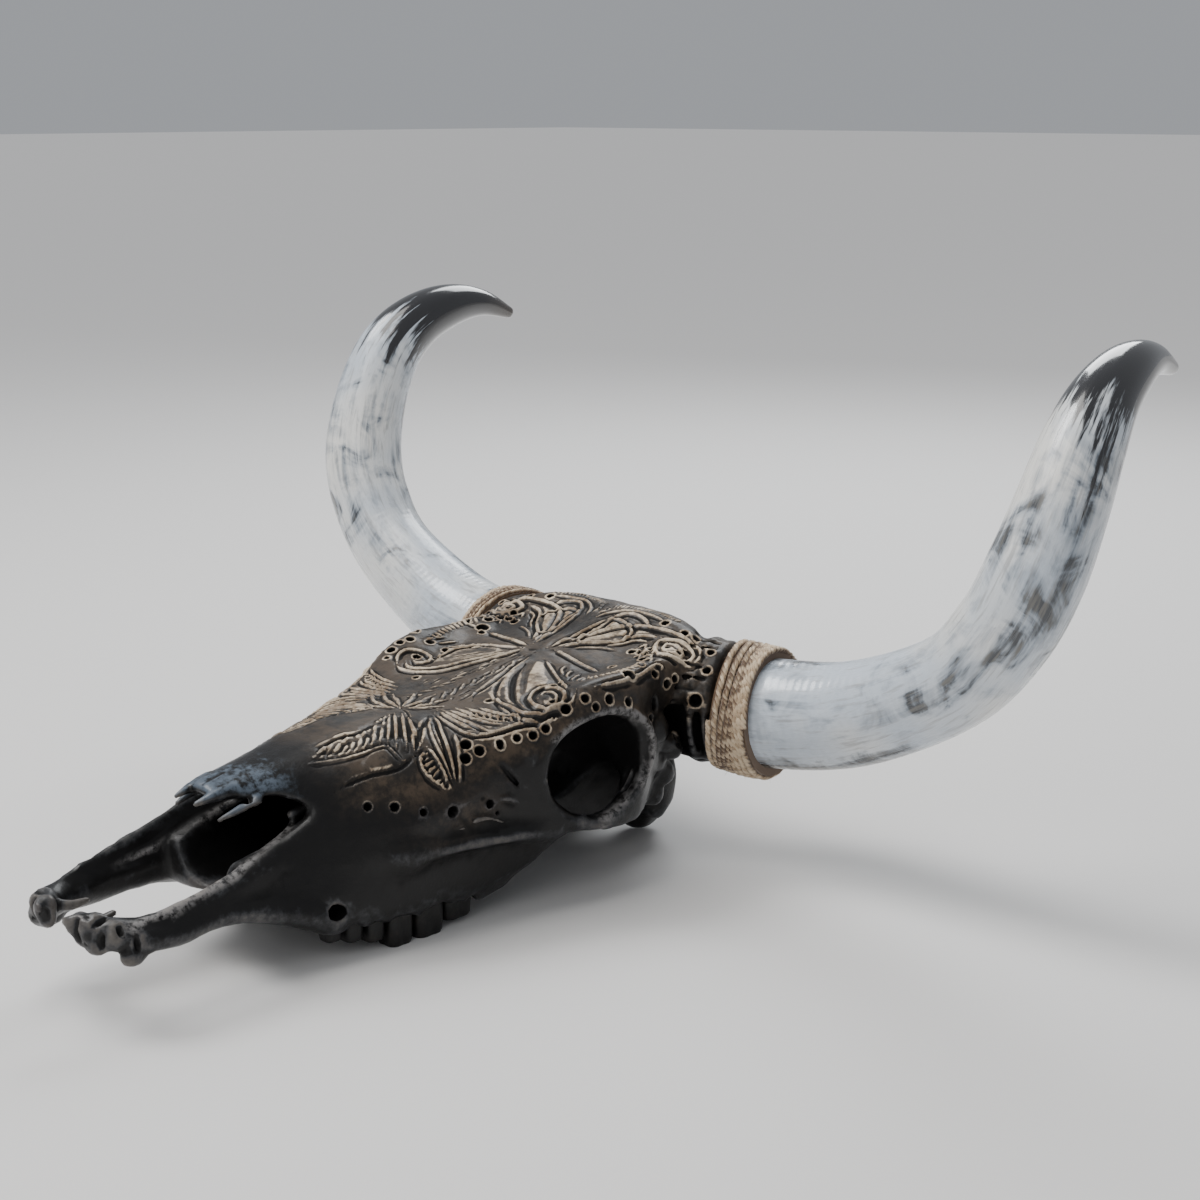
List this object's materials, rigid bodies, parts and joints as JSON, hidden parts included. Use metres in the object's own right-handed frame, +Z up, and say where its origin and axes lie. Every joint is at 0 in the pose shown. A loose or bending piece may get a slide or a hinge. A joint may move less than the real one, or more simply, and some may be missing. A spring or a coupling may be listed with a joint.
{
  "type": "carved cow skull",
  "caption": "Carved and blackened cow skull without its lower jaw, with polished curved horns bound to it by jute rope; it lies on its cheek teeth and neck joint.",
  "frame": {"origin": "centre of the whole object's box, at the level of the surface that the skull lies on", "axes": "+X towards the animal's left, -Y towards the snout, +Z up"},
  "size_m": [0.729, 0.6816, 0.3722],
  "materials": {
    "blackened_bone": "blackened and waxed bone, worn back to cream on the carved ridges",
    "polished_horn": "polished horn, cream and blue-white with grey streaks and a black tip",
    "jute_rope": "coarse twisted jute",
    "tooth_enamel": "blackened enamel"
  },
  "bodies": {
    "root": {"skull": "blackened_bone", "horn_left": "polished_horn", "horn_right": "polished_horn", "rope_wrap_left": "jute_rope", "rope_wrap_right": "jute_rope", "premolar_1_left": "tooth_enamel", "premolar_2_left": "tooth_enamel", "premolar_3_left": "tooth_enamel", "molar_1_left": "tooth_enamel", "molar_2_left": "tooth_enamel", "molar_3_left": "tooth_enamel", "premolar_1_right": "tooth_enamel", "premolar_2_right": "tooth_enamel", "premolar_3_right": "tooth_enamel", "molar_1_right": "tooth_enamel", "molar_2_right": "tooth_enamel", "molar_3_right": "tooth_enamel"}
  },
  "joints": []
}
